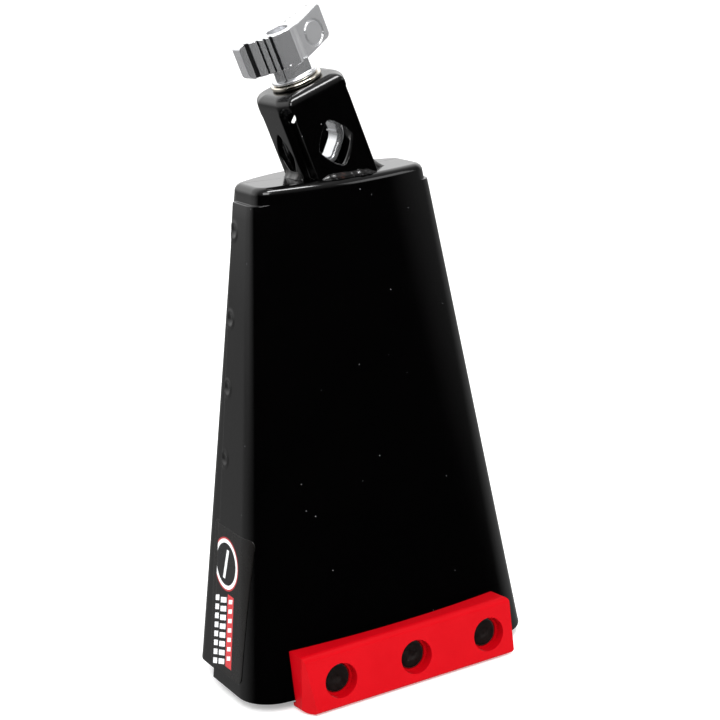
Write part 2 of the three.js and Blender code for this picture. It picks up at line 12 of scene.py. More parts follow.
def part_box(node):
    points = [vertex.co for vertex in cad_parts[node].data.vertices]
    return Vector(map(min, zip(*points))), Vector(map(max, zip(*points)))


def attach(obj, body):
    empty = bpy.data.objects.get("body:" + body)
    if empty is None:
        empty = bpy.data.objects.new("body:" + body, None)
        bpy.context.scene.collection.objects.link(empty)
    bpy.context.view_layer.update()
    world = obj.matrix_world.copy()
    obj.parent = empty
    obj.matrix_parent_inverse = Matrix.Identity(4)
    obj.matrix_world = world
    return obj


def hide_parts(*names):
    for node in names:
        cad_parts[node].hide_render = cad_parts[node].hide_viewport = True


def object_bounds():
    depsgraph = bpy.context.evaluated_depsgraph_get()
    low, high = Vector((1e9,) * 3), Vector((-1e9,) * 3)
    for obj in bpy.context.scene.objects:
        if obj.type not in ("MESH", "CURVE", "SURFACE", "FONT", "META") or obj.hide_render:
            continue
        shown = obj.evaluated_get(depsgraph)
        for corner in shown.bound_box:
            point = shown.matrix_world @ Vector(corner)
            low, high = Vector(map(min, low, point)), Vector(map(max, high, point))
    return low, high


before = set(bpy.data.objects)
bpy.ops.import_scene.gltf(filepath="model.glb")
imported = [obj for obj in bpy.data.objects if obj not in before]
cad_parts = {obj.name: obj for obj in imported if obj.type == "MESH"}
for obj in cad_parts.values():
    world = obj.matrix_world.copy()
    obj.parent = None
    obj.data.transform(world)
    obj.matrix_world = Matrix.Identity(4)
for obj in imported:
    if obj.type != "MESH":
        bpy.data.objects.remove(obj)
cad_low, cad_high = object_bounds()

MM = 0.001

# ---- sizes, as in the CAD

HEIGHT = 203.0
SHEET = 1.5
LAP_GAP = 0.3
BEND = 3.3
# The outline at the mouth and the closed end: width, depth of the narrow side, bulge of the
# front and back face, and radius of the front and back corners
MOUTH = {"width": 133.4, "side": 56.8, "front": 6.2, "back": 4.5, "rf": 15.5, "rb": 7.4}
CLOSED = {"width": 79.6, "side": 18.5, "front": 7.0, "back": 13.4, "rf": 6.9, "rb": 6.4}
BACK_RISE = 2.0
SEAM_MOUTH, SEAM_TOP = 9.2, 7.0
LAP = 10.0
FLAP_TOP = HEIGHT - 6.5
WELD_SPOTS = (185.4, 150.5, 122.7, 93.8)

LEAN = radians(18.6)
FOOT = (1.4, 1.7)
BRACKET = {"width": 31.4, "depth": 29.0, "height": 39.1, "sheet": 2.6, "bend": 4.2}
FRONT_LEG, SIDE_LEG = 25.2, 15.6
ROD_HEIGHT = 14.6
FRONT_HOLE, SIDE_HOLE = (7.9, 9.6), (6.0, 9.4)
# The back slots end lower here than in the CAD
SLOT_TOP, SLOT_ARCH, BACK_SLOT_DROP = 7.5, 3.6, 2.2
PLATE_HOLE, NUT_BORE = 4.45, 4.35

# Where the bell's own origin lies in the frame: mid-width, mid-depth, front rim
bell_low, bell_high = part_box("bell_body")
ORIGIN = Vector((
    (bell_low.x + bell_high.x) / 2,
    bell_low.y + (MOUTH["side"] / 2 + MOUTH["front"]) * MM,
    bell_high.z - HEIGHT * MM,
))
BELL = Matrix.Translation(ORIGIN) @ Matrix.Scale(MM, 4)
CLAMP = (
    BELL @ Matrix.Translation((FOOT[0], FOOT[1], HEIGHT)) @ Matrix.Rotation(-LEAN, 4, "Y")
)
FACE_FOOT = MOUTH["side"] / 2 + MOUTH["front"]
FACE_HEAD = CLOSED["side"] / 2 + CLOSED["front"]
FACE_SLOPE = atan2(FACE_FOOT - FACE_HEAD, HEIGHT)
FACE = BELL @ Matrix.Translation((0, -FACE_FOOT, 0)) @ Matrix.Rotation(-FACE_SLOPE, 4, "X")


# ---- material helpers


def feed(socket, value):
    """Links another node's output to a socket, or sets the socket to a constant.

    The id_data of a socket, and of a node, is the node tree that it is in.
    """
    if isinstance(value, bpy.types.NodeSocket):
        socket.id_data.links.new(value, socket)
    elif isinstance(value, tuple):
        socket.default_value = (*value, 1.0)
    else:
        socket.default_value = value


def add(tree, kind, inputs=None, **settings):
    """A shader node with its settings, and its inputs set or linked."""
    made = tree.nodes.new("ShaderNode" + kind)
    for key, value in settings.items():
        setattr(made, key, value)
    for key, value in (inputs or {}).items():
        feed(made.inputs[key], value)
    return made


def new_material(name):
    """A material with its node tree, its shader and the object's own coordinates."""
    material = bpy.data.materials.new(name)
    material.use_nodes = True
    tree = material.node_tree
    tree.nodes.clear()
    shader = add(tree, "BsdfPrincipled")
    out = add(tree, "OutputMaterial")
    tree.links.new(shader.outputs[0], out.inputs[0])
    place = add(tree, "TexCoord").outputs["Object"]
    return material, tree, shader, place


def noise_at(place, scale, detail=3.0, roughness=0.55):
    inputs = {"Vector": place, "Scale": scale, "Detail": detail, "Roughness": roughness}
    return add(place.id_data, "TexNoise", inputs).outputs["Fac"]


def spread(value, low, high, to_low, to_high):
    """A value carried from one range to another, clamped."""
    inputs = {"Value": value, "From Min": low, "From Max": high,
              "To Min": to_low, "To Max": to_high}
    return add(value.id_data, "MapRange", inputs).outputs["Result"]


def maths(operation, a, b=0.0):
    made = add(a.id_data, "Math", operation=operation)
    feed(made.inputs[0], a)
    feed(made.inputs[1], b)
    return made.outputs[0]


def times(a, b):
    return maths("MULTIPLY", a, b)


def between(value, low, high):
    """1 where a value lies between two others and 0 elsewhere."""
    return times(maths("GREATER_THAN", value, low), maths("LESS_THAN", value, high))


def mix(share, first, second):
    """One colour over another by a share."""
    made = add(share.id_data, "Mix", data_type="RGBA")
    # Of its inputs, 0 is the share, and 6 and 7 are the two colours
    for index, value in ((0, share), (6, first), (7, second)):
        feed(made.inputs[index], value)
    return made.outputs[2]


def link(value, shader, name):
    feed(shader.inputs[name], value)


def bump(shader, height, strength, distance):
    inputs = {"Height": height, "Strength": strength, "Distance": distance}
    made = add(shader.id_data, "Bump", inputs)
    feed(shader.inputs["Normal"], made.outputs["Normal"])


def specks(place, scale, size, share):
    """Small round specks, as dust leaves: 1 on a speck and 0 elsewhere."""
    tree = place.id_data
    cells = add(tree, "TexVoronoi", {"Vector": place, "Scale": scale})
    split = add(tree, "SeparateColor", {"Color": cells.outputs["Color"]})
    near = spread(cells.outputs["Distance"], size * 0.5, size, 1.0, 0.0)
    chosen = maths("GREATER_THAN", split.outputs[0], 1.0 - share)
    return times(near, chosen)


# ---- materials

# The label's print: millimetres to one unit of its UV map, the ring's centre in depth and
# height, and where the dark disc, the white ring and its red edge end
PRINT_UNIT = 100.0
RING_CENTRE = (0.4, 51.4)
RING_RADII = (8.7, 10.3, 11.0)


def gloss_black(name, rough, dust, peel):
    """Glossy black enamel with a faint orange peel and pale dust specks."""
    material, _, shader, place = new_material(name)
    broad = noise_at(place, 22.0, 2.0)
    fine = noise_at(place, 1100.0, 2.0)
    tint = mix(broad, (0.0002, 0.0002, 0.0003), (0.0006, 0.0005, 0.0005))
    dots = specks(place, 230.0, 0.045, dust)
    link(mix(dots, tint, (0.30, 0.31, 0.33)), shader, "Base Color")
    cloud = noise_at(place, 60.0, 4.0)
    sheen = spread(cloud, 0.3, 0.7, rough * 0.75, rough * 1.35)
    link(maths("ADD", sheen, times(dots, 0.3)), shader, "Roughness")
    height = maths("ADD", fine, times(dots, 1.2))
    bump(shader, height, peel, 0.0003)
    return material


def chrome(name, flat_rough, edge_rough, tint, metallic):
    """Plated metal: satin where it is flat, brighter on its worn edges, with painted shade in
    its grooves.

    The painted groove shade comes from the first number of a UV map called "grooves".
    """
    material, tree, shader, place = new_material(name)
    shader.inputs["Metallic"].default_value = metallic
    edges = add(tree, "NewGeometry").outputs["Pointiness"]
    worn = spread(edges, 0.525, 0.58, 0.0, 1.0)
    cloud = noise_at(place, 160.0, 3.0)
    dull = spread(cloud, 0.35, 0.7, flat_rough * 0.8, flat_rough * 1.25)
    part = times(worn, edge_rough - flat_rough)
    link(maths("ADD", dull, part), shader, "Roughness")
    dark = tuple(c * 0.8 for c in tint)
    pits = specks(place, 700.0, 0.2, 0.1)
    shade = maths("ADD", spread(cloud, 0.3, 0.7, 0.0, 0.35), pits)
    # Painted shade: a near black laid over the plating in the grip grooves
    sunk = add(tree, "UVMap", uv_map="grooves").outputs["UV"]
    groove_shade = add(tree, "SeparateXYZ", {"Vector": sunk}).outputs[0]
    plated = mix(shade, tint, dark)
    link(mix(groove_shade, plated, (0.02, 0.02, 0.022)), shader, "Base Color")
    bump(shader, noise_at(place, 900.0, 3.0), 0.05, 0.0003)
    return material


def red_plastic():
    """Moulded red plastic with a fine grain and pale scuffs on its edges."""
    material, tree, shader, place = new_material("red_moulded_plastic")
    cloud = noise_at(place, 90.0, 4.0)
    body = mix(cloud, (0.42, 0.0006, 0.0040), (0.48, 0.0010, 0.0055))
    shader.inputs["Specular IOR Level"].default_value = 0.06
    edges = add(tree, "NewGeometry").outputs["Pointiness"]
    ridge = spread(edges, 0.515, 0.57, 0.0, 1.0)
    nicks = spread(noise_at(place, 330.0, 5.0, 0.7), 0.64, 0.76, 0.0, 0.45)
    scuff = times(ridge, nicks)
    link(mix(scuff, body, (0.62, 0.08, 0.10)), shader, "Base Color")
    link(spread(cloud, 0.3, 0.7, 0.34, 0.48), shader, "Roughness")
    grain = maths("ADD", noise_at(place, 1500.0, 3.0), times(noise_at(place, 240.0, 2.0), 1.5))
    bump(shader, grain, 0.08, 0.0003)
    return material


def rivet_metal():
    """Dark rusty metal with a few paler specks."""
    material, _, shader, place = new_material("rivet_dark_metal")
    cloud = noise_at(place, 650.0, 4.0)
    rust = mix(cloud, (0.0035, 0.0012, 0.0010), (0.012, 0.0045, 0.0035))
    dots = specks(place, 900.0, 0.16, 0.12)
    link(mix(dots, rust, (0.10, 0.06, 0.05)), shader, "Base Color")
    link(spread(cloud, 0.3, 0.7, 0.38, 0.62), shader, "Roughness")
    bump(shader, cloud, 0.25, 0.0004)
    return material


def weld_metal():
    """Painted weld metal with rust stains and a few bare spots."""
    material, _, shader, place = new_material("weld_bead_paint")
    cloud = noise_at(place, 420.0, 5.0, 0.65)
    base = mix(cloud, (0.0004, 0.0004, 0.0005), (0.0022, 0.0016, 0.0016))
    rusty = spread(noise_at(place, 260.0, 3.0), 0.60, 0.70, 0.0, 0.8)
    stained = mix(rusty, base, (0.055, 0.020, 0.014))
    bare = spread(noise_at(place, 520.0, 2.0), 0.70, 0.76, 0.0, 0.9)
    link(mix(bare, stained, (0.5, 0.48, 0.5)), shader, "Base Color")
    link(spread(cloud, 0.3, 0.7, 0.12, 0.26), shader, "Roughness")
    bump(shader, cloud, 0.16, 0.0005)
    return material


def leaning_blocks(across, along, low, high, first, last, count, lean, share):
    """One row of leaning blocks in the print: 1 on a block and 0 elsewhere.

    The row lies from low to high across the label and from first to last along it. Each of
    its count cells is filled up to a share, and a block shifts by lean for each mm across.
    """
    inside = between(across, low, high)
    shifted = maths("ADD", along, times(across, lean))
    place = maths("DIVIDE", maths("SUBTRACT", shifted, first), (last - first) / count)
    cell = maths("FRACT", place)
    filled = maths("LESS_THAN", cell, share)
    within = between(place, 0.0, float(count))
    return times(times(inside, filled), within)


def label_film():
    """A dark printed film with a plain ring, a red band and rows of white blocks.

    The UV map "print" holds each point's depth and height on the bell, in units of PRINT_UNIT.
    """
    material, tree, shader, place = new_material("printed_label_film")
    uv = add(tree, "UVMap", uv_map="print").outputs["UV"]
    split = add(tree, "SeparateXYZ", {"Vector": uv})
    across = times(split.outputs[0], PRINT_UNIT)
    along = times(split.outputs[1], PRINT_UNIT)
    cloud = noise_at(place, 120.0, 3.0)
    film = mix(cloud, (0.0030, 0.0026, 0.0024), (0.0060, 0.0050, 0.0045))
    # A white ring with a thin red edge round a dark disc
    dx = maths("SUBTRACT", across, RING_CENTRE[0])
    dz = maths("SUBTRACT", along, RING_CENTRE[1])
    radius = maths("SQRT", maths("ADD", times(dx, dx), times(dz, dz)))
    disc_end, ring_end, edge_end = RING_RADII
    edge = between(radius, ring_end, edge_end)
    colour = mix(edge, film, (0.42, 0.03, 0.035))
    ring = between(radius, disc_end, ring_end)
    colour = mix(ring, colour, (0.86, 0.87, 0.88))
    disc = between(radius, 0.0, disc_end)
    colour = mix(disc, colour, (0.006, 0.006, 0.007))
    # A plain leaning bar on the disc
    bar_lean, bar_half_width, bar_half_length = 0.22, 1.0, 6.2
    offset = maths("ADD", dx, times(dz, bar_lean))
    narrow = maths("LESS_THAN", maths("ABSOLUTE", offset), bar_half_width)
    short = maths("LESS_THAN", maths("ABSOLUTE", dz), bar_half_length)
    bar = times(narrow, short)
    colour = mix(bar, colour, (0.80, 0.81, 0.82))
    # The red band, small white blocks on it, and two rows of larger ones beside it
    red = leaning_blocks(across, along, low=-7.6, high=-2.2, first=9.0, last=39.6,
                         count=1, lean=0.0, share=1.1)
    colour = mix(red, colour, (0.56, 0.035, 0.040))
    rows = (
        dict(low=-6.5, high=-3.3, first=10.5, last=38.5, count=7, lean=0.35, share=0.45),
        dict(low=-1.2, high=4.0, first=9.0, last=39.0, count=8, lean=0.30, share=0.62),
        dict(low=5.4, high=10.4, first=9.0, last=40.0, count=8, lean=0.30, share=0.62),
    )
    for row in rows:
        blocks = leaning_blocks(across, along, **row)
        colour = mix(blocks, colour, (0.82, 0.83, 0.85))
    link(colour, shader, "Base Color")
    link(spread(cloud, 0.3, 0.7, 0.22, 0.34), shader, "Roughness")
    bump(shader, noise_at(place, 300.0, 3.0), 0.06, 0.0004)
    return material


# ---- mesh helpers

# A point on a turned profile's axis stands this far off it, so that its ring merges to one
AXIS_RADIUS = 1e-5


def finish_piece(obj, place, body, material, *nodes):
    """Puts a piece made in millimetres in its place, with its finish, CAD body and nodes."""
    obj.data.transform(place)
    obj.data.update()
    obj.data.materials.clear()
    obj.data.materials.append(material)
    for polygon in obj.data.polygons:
        polygon.use_smooth = True
    weighted = obj.modifiers.new("weighted", "WEIGHTED_NORMAL")
    weighted.keep_sharp = True
    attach(obj, body)
    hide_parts(*nodes)


def make_object(name, points, faces, matrix=None):
    """A mesh object from points in millimetres, its doubled points merged."""
    mesh = bpy.data.meshes.new(name)
    mesh.from_pydata(np.asarray(points, float).tolist(), [], faces)
    bm = bmesh.new()
    bm.from_mesh(mesh)
    bmesh.ops.remove_doubles(bm, verts=bm.verts, dist=1e-4)
    bmesh.ops.dissolve_degenerate(bm, edges=bm.edges, dist=1e-5)
    bmesh.ops.recalc_face_normals(bm, faces=bm.faces)
    bm.to_mesh(mesh)
    bm.free()
    if matrix:
        mesh.transform(matrix)
    mesh.update()
    obj = bpy.data.objects.new(name, mesh)
    bpy.context.scene.collection.objects.link(obj)
    return obj


def bake(obj):
    """Applies an object's modifiers to its mesh."""
    bpy.context.view_layer.update()
    evaluated = obj.evaluated_get(bpy.context.evaluated_depsgraph_get())
    mesh = bpy.data.meshes.new_from_object(evaluated)
    obj.modifiers.clear()
    old = obj.data
    obj.data = mesh
    bpy.data.meshes.remove(old)


def combine(obj, other, operation):
    """A boolean of one object with another, which is then removed."""
    modifier = obj.modifiers.new("combine", "BOOLEAN")
    modifier.operation = operation
    modifier.solver = "EXACT"
    modifier.object = other
    bake(obj)
    bpy.data.objects.remove(other)


def bevel(obj, width, segments, angle):
    """Rounds the edges that are sharper than an angle in degrees."""
    modifier = obj.modifiers.new("bevel", "BEVEL")
    modifier.width = width
    modifier.segments = segments
    modifier.limit_method = "ANGLE"
    modifier.angle_limit = radians(angle)
    modifier.use_clamp_overlap = True
    modifier.miter_outer = "MITER_ARC"
    bake(obj)


def soften(obj, voxel, rounds):
    """Rebuilds an object's skin in small even faces and rounds its edges."""
    remesh = obj.modifiers.new("remesh", "REMESH")
    remesh.mode = "VOXEL"
    remesh.voxel_size = voxel
    smooth = obj.modifiers.new("smooth", "SMOOTH")
    smooth.factor = 0.5
    smooth.iterations = rounds
    bake(obj)


def loft(rings, closed_ends=True):
    """Points and faces of a skin through rings of equally many points."""
    rings = [np.asarray(ring, float) for ring in rings]
    count = len(rings[0])
    points = np.concatenate(rings)
    faces = []
    for r in range(len(rings) - 1):
        a = r * count
        for i in range(count):
            j = (i + 1) % count
            faces.append((a + i, a + j, a + count + j, a + count + i))
    if closed_ends:
        faces.append(tuple(range(count - 1, -1, -1)))
        last = (len(rings) - 1) * count
        faces.append(tuple(range(last, last + count)))
    return points, faces


def prism(outline, axis, start, end):
    """An outline in the two other axes, extruded along one axis (0 X, 1 Y, 2 Z)."""
    outline = np.asarray(outline, float)
    return loft([np.insert(outline, axis, at, axis=1) for at in (start, end)])


def circle(radius, count, centre=(0.0, 0.0)):
    angles = np.linspace(0, 2 * np.pi, count, endpoint=False)
    return np.stack([centre[0] + radius * np.cos(angles),
                     centre[1] + radius * np.sin(angles)], 1)


def lathe(profile, count, axis=2, centre=(0.0, 0.0)):
    """Points and faces of a profile of (radius, place along the axis) turned about it."""
    rings = []
    for radius, at in profile:
        flat = circle(max(radius, AXIS_RADIUS), count, centre)
        rings.append(np.insert(flat, axis, at, axis=1))
    return loft(rings, closed_ends=False)


def cut(obj, outline, axis, start, end, matrix=None):
    """Cuts an extruded outline out of an object."""
    cutter = make_object("cut", *prism(outline, axis, start, end), matrix)
    combine(obj, cutter, "DIFFERENCE")


def lerp(a, b, t):
    return a + (b - a) * t


def rounded(points, radius, steps=6):
    """A polygon with each corner rounded; radius is a number or one for each corner."""
    points = [Vector(p) for p in points]
    radii = radius if isinstance(radius, (list, tuple)) else [radius] * len(points)
    out = []
    for i, corner in enumerate(points):
        before, after = points[i - 1] - corner, points[(i + 1) % len(points)] - corner
        half = before.angle(after) / 2
        if radii[i] <= 0 or abs(half - pi / 2) < 1e-3:
            out.append(tuple(corner))
            continue
        reach = min(radii[i] / tan(half), before.length * 0.49, after.length * 0.49)
        start = corner + before.normalized() * reach
        end = corner + after.normalized() * reach
        radius_used = reach * tan(half)
        centre = corner + (before.normalized() + after.normalized()).normalized() * (
            radius_used / sin(half))
        a, b = start - centre, end - centre
        turn = a.angle(b)
        for s in range(steps + 1):
            t = s / steps
            weight_a = sin((1 - t) * turn) / sin(turn)
            weight_b = sin(t * turn) / sin(turn)
            out.append(tuple(centre + a * weight_a + b * weight_b))
    return out


# ---- bell


def bell_shape(z):
    """The outline's sizes at one height."""
    return {key: lerp(MOUTH[key], CLOSED[key], z / HEIGHT) for key in MOUTH}


Crown = namedtuple("Crown", "radius centre corner_x corner_y meeting")


def crown(shape, bulge, radius, loss):
    """One broad face's crown circle, its corner circle's centre and the angle they meet at."""
    half = shape["width"] / 2
    big = (half * half + bulge * bulge) / (2 * bulge)
    centre = shape["side"] / 2 + bulge - big
    corner_x = half - loss - radius
    corner_y = centre + sqrt((big - radius) ** 2 - corner_x ** 2)
    meeting = atan2(corner_y - centre, corner_x)
    return Crown(big, centre, corner_x, corner_y, meeting)


def seam_at(z):
    """How far back the outer flap's edge lies on the narrow side."""
    return lerp(SEAM_MOUTH, SEAM_TOP, z / HEIGHT)


# Steps across the seam: how far from it along the side, and how full the flap is there
SEAM_STEP = ((-0.9, 1.0), (-0.55, 1.0), (-0.33, 0.965), (-0.14, 0.87), (-0.02, 0.70),
             (0.0, 0.45), (0.0, 0.12), (0.06, 0.02), (0.25, 0.0), (0.6, 0.0))
# How full the flap is on the first rows below its top edge
FLAP_EDGE = (0.45, 0.70, 0.87, 0.965)
# The rounded rim: how far in from the outer surface and how high each of its points lies
RIM = ((0.0, 0.45), (0.13, 0.13), (0.45, 0.0), (1.05, 0.0), (1.37, 0.13), (1.5, 0.45))
# How much further in the back half lies on each narrow side
NARROW = SHEET + LAP_GAP
# Depth of the middle of the closed end
CLOSED_MIDDLE = 1.5

# One line up the bell: the stretch of the outline it is on, how far along that it is, how
# full the outer flap is there, and whether the inner flap lies behind it
Column = namedtuple("Column", "stretch along full lapped", defaults=(1.0, 0.0))


def columns():
    """The right half's columns, from the middle of the front to the middle of the back."""
    made = [Column("front", t) for t in np.linspace(0, 1, 25)[:-1]]
    made += [Column("front_corner", t) for t in np.linspace(0, 1, 17)[:-1]]
    made += [Column("side_front", t) for t in np.linspace(0, 1, 5)[:-1]]
    made.append(Column("near_seam", -LAP))
    made.append(Column("near_seam", -LAP, 1.0, 1.0))
    for d in np.linspace(-LAP + 0.65, -0.9, 19)[:-1]:
        made.append(Column("near_seam", d, 1.0, 1.0))
    made += [Column("near_seam", d, full, 1.0) for d, full in SEAM_STEP]
    made += [Column("side_back", t, 0.0) for t in np.linspace(0.12, 1, 6)[:-1]]
    made += [Column("back_corner", t, 0.0) for t in np.linspace(0, 1, 15)[:-1]]
    made += [Column("back", t, 0.0) for t in np.linspace(0, 1, 25)]
    return made


def outline_point(column, z, inset, loss):
    """A column's place at one height on a surface moved in by "inset"."""
    shape = bell_shape(min(z, HEIGHT - BEND))
    front = crown(shape, shape["front"], shape["rf"], loss)
    back = crown(shape, shape["back"], shape["rb"], loss)
    t = column.along
    # Each arc's centre, radius, and first and last angle
    arcs = {
        "front": (0.0, -front.centre, front.radius, -pi / 2, -front.meeting),
        "front_corner": (front.corner_x, -front.corner_y, shape["rf"], -front.meeting, 0.0),
        "back_corner": (back.corner_x, back.corner_y, shape["rb"], 0.0, back.meeting),
        "back": (0.0, back.centre, back.radius, back.meeting, pi / 2),
    }
    if column.stretch in arcs:
        x, y, radius, first, last = arcs[column.stretch]
        angle = lerp(first, last, t)
        reach = radius - inset
        return x + reach * cos(angle), y + reach * sin(angle)
    seam = seam_at(z)
    if column.stretch == "side_front":
        y = lerp(-front.corner_y, max(seam - LAP, -front.corner_y + 0.2), t)
    elif column.stretch == "side_back":
        y = lerp(seam + 0.6, back.corner_y, t)
    else:
        y = max(seam + t, -front.corner_y + 0.2 + (t + LAP) * 0.02)
    return shape["width"] / 2 - loss - inset, y


def spot_dent(y, z):
    """How far a spot weld pushes the narrow side out at one place: a dent in a low rim."""
    out = 0.0
    for at in WELD_SPOTS:
        r = hypot(y - (seam_at(at) - 2.6), (z - at) * 0.92)
        out += 0.28 * exp(-((r - 2.7) / 0.75) ** 2) - 0.42 * exp(-(r / 1.9) ** 2)
    return out


def outer_rows():
    """Heights above and below the flap's top, from the top down, closer at details."""
    above = [198.0, 197.2, 196.8, FLAP_TOP + 0.12, FLAP_TOP + 0.02]
    edge = [FLAP_TOP - 0.001, FLAP_TOP - 0.02, FLAP_TOP - 0.14, FLAP_TOP - 0.33]
    heights = set(np.round(np.linspace(196.0, 3.0, 46), 3))
    for at in WELD_SPOTS:
        heights = {h for h in heights if abs(h - at) > 5.4}
        heights |= set(np.round(at + np.linspace(-5.2, 5.2, 17), 3))
    return above, edge + sorted((h for h in heights if h < FLAP_TOP - 0.5), reverse=True)


def make_bell(material):
    """The whole shell as one skin of rings, from the closed end down and up again inside."""
    half = columns()
    above, below = outer_rows()
    shoulder = HEIGHT - BEND
    rings = []

    def ring(spot):
        right = [spot(c) for c in half]
        left = [(-x, y, z) for x, y, z in right[-2:0:-1]]
        rings.append(np.array(right + left))

    def level(share, z, height):
        """A ring drawn in towards the middle of the closed end."""
        def spot(c):
            x, y = outline_point(c, z, BEND, NARROW)
            return x * share, CLOSED_MIDDLE + (y - CLOSED_MIDDLE) * share, height
        ring(spot)

    # Closed end, flat in the middle, then its bend
    for share in (0.0, 0.3, 0.6, 0.85, 0.96):
        level(share, HEIGHT, HEIGHT)
    for angle in np.linspace(pi / 2, 0.0, 13):
        inset = BEND * (1 - cos(angle))
        z = shoulder + BEND * sin(angle)
        ring(lambda c: (*outline_point(c, HEIGHT, inset, NARROW), z))
    for z in above:
        ring(lambda c: (*outline_point(c, z, 0.0, NARROW), z))

    def rise(c):
        return BACK_RISE * (1 - c.full)

    def side_point(c, z, edge):
        z = lerp(rise(c), FLAP_TOP, z / FLAP_TOP)
        loss = NARROW * (1 - c.full * edge)
        x, y = outline_point(c, z, 0.0, loss)
        if c.stretch in ("near_seam", "side_front") and c.full > 0.9:
            x += spot_dent(y, z) * edge
        return x, y, z

    for i, z in enumerate(below):
        edge = FLAP_EDGE[i] if i < len(FLAP_EDGE) else 1.0
        ring(lambda c: side_point(c, z, edge))

    def rim(c, inset, dz):
        loss = NARROW * (1 - c.full)
        return (*outline_point(c, rise(c), inset, loss), rise(c) + dz)

    def inner_rim(c, inset, dz):
        if c.lapped and c.full > 0.5:
            return (*outline_point(c, BACK_RISE, inset, NARROW), BACK_RISE + dz)
        return rim(c, *RIM[-1])

    # The rim, rounded, then the inner flap's own rim where it lies behind the outer one
    for inset, dz in RIM:
        ring(lambda c: rim(c, inset, dz))
    for inset, dz in ((-LAP_GAP, 0.0), *RIM):
        ring(lambda c: inner_rim(c, inset, dz))

    def inside(c, z, inset=SHEET):
        hidden = c.lapped or z > FLAP_TOP
        loss = NARROW if hidden else NARROW * (1 - c.full)
        return (*outline_point(c, min(z, shoulder), inset, loss), z)

    for z in (6.0, 20.0, 50.0, 80.0, 110.0, 140.0, 165.0, 185.0, FLAP_TOP - 0.1,
              FLAP_TOP + 0.1, 198.0):
        ring(lambda c: inside(c, z))
    for angle in np.linspace(0.0, pi / 2, 7):
        inset = SHEET + (BEND - SHEET) * (1 - cos(angle))
        z = shoulder + (BEND - SHEET) * sin(angle)
        ring(lambda c: inside(c, z, inset))
    for share in (0.8, 0.4, 0.0):
        level(share, shoulder, HEIGHT - SHEET)
    obj = make_object("bell_shell", *loft(rings, closed_ends=False))
    finish_piece(obj, BELL, "bell", material, "bell_body")


# ---- label

LABEL_Y = (-18.2, 15.4)
LABEL_Z = (5.7, 66.3)
LABEL_LEAN = 1.5
LABEL_CORNER = 3.0
# How far the film's inner and outer face lie off the paint
FILM_LIFTS = (0.04, 0.2)


def side_surface(y, z):
    """Distance from the middle plane to the narrow side's outer surface."""
    shape = bell_shape(z)
    front = crown(shape, shape["front"], shape["rf"], 0.0)
    if y < -front.corner_y:
        rest = max(shape["rf"] ** 2 - (y + front.corner_y) ** 2, 0.0)
        return front.corner_x + sqrt(rest)
    step = min(max((y - seam_at(z) + 0.2) / 2.6, 0.0), 1.0)
    return shape["width"] / 2 - NARROW * step * step * (3 - 2 * step)


def make_label(material):
    """A thin film stuck to the left side, running on over the seam's step."""
    (y0, y1), (z0, z1) = LABEL_Y, LABEL_Z
    r = LABEL_CORNER
    ease = 0.5 - 0.5 * np.cos(np.linspace(0, np.pi, 12))
    rows = np.concatenate([z0 + r * ease, np.linspace(z0 + r, z1 - r, 50)[1:-1],
                           z1 - r + r * ease])
    across = np.linspace(0, 1, 61)
    sheets = []
    for lift in FILM_LIFTS:
        grid = []
        for z in rows:
            d = min(z - z0, z1 - z)
            arc = r - sqrt(max(r * r - (r - d) ** 2, 0.0)) if d < r else 0.0
            front = y0 + LABEL_LEAN * (1 - 2 * (z - z0) / (z1 - z0))
            for t in across:
                y = lerp(front + arc, y1 - arc, t)
                grid.append((-side_surface(y, z) - lift, y, z))
        sheets.append(grid)
    count, high = len(across), len(rows)
    points = sheets[0] + sheets[1]
    size = count * high
    faces = []
    for row in range(high - 1):
        for step in range(count - 1):
            a = row * count + step
            quad = (a, a + 1, a + count + 1, a + count)
            faces.append(quad)
            faces.append(tuple(size + i for i in reversed(quad)))
    # Round the border, to close the gap between the two faces
    border = list(range(count - 1)) + [row * count + count - 1 for row in range(high - 1)]
    border += [size - 1 - i for i in range(count - 1)]
    border += [row * count for row in range(high - 1, 0, -1)]
    for i, a in enumerate(border):
        b = border[(i + 1) % len(border)]
        faces.append((a, b, size + b, size + a))
    obj = make_object("label_film", points, faces)
    layer = obj.data.uv_layers.new(name="print")
    for loop in obj.data.loops:
        at = obj.data.vertices[loop.vertex_index].co
        layer.data[loop.index].uv = (at.y / PRINT_UNIT, at.z / PRINT_UNIT)
    finish_piece(obj, BELL, "bell", material, "side_label")


# ---- ridge bar and rivets

BAR_X = (-49.4, 48.6)
BAR_TOP, BAR_BOTTOM, BAR_THICK = 21.2, -3.6, 8.0
BAR_LIP, BAR_LIP_TOP = 1.9, -0.8
# The gap before the bell, and how much the lip's foot rises where the face falls back
BAR_GAP, LIP_RISE = 0.12, 0.09
RIVETS = (-33.5, 1.7, 36.9)
RIVET_Z = 7.6
COUNTERBORE, LEDGE, RIVET_HOLE = 14.4, 12.4, 5.4
FLOOR, LEDGE_STEP = 2.4, 1.2


def face_depth(x, z):
    """How far behind the bar's own plane the bell's crowned front face lies."""
    shape = bell_shape(max(z, 0.0))
    front = crown(shape, shape["front"], shape["rf"], 0.0)
    y = -(front.centre + sqrt(front.radius * front.radius - x * x))
    middle = -(shape["side"] / 2 + shape["front"])
    return (y - middle) * cos(FACE_SLOPE)


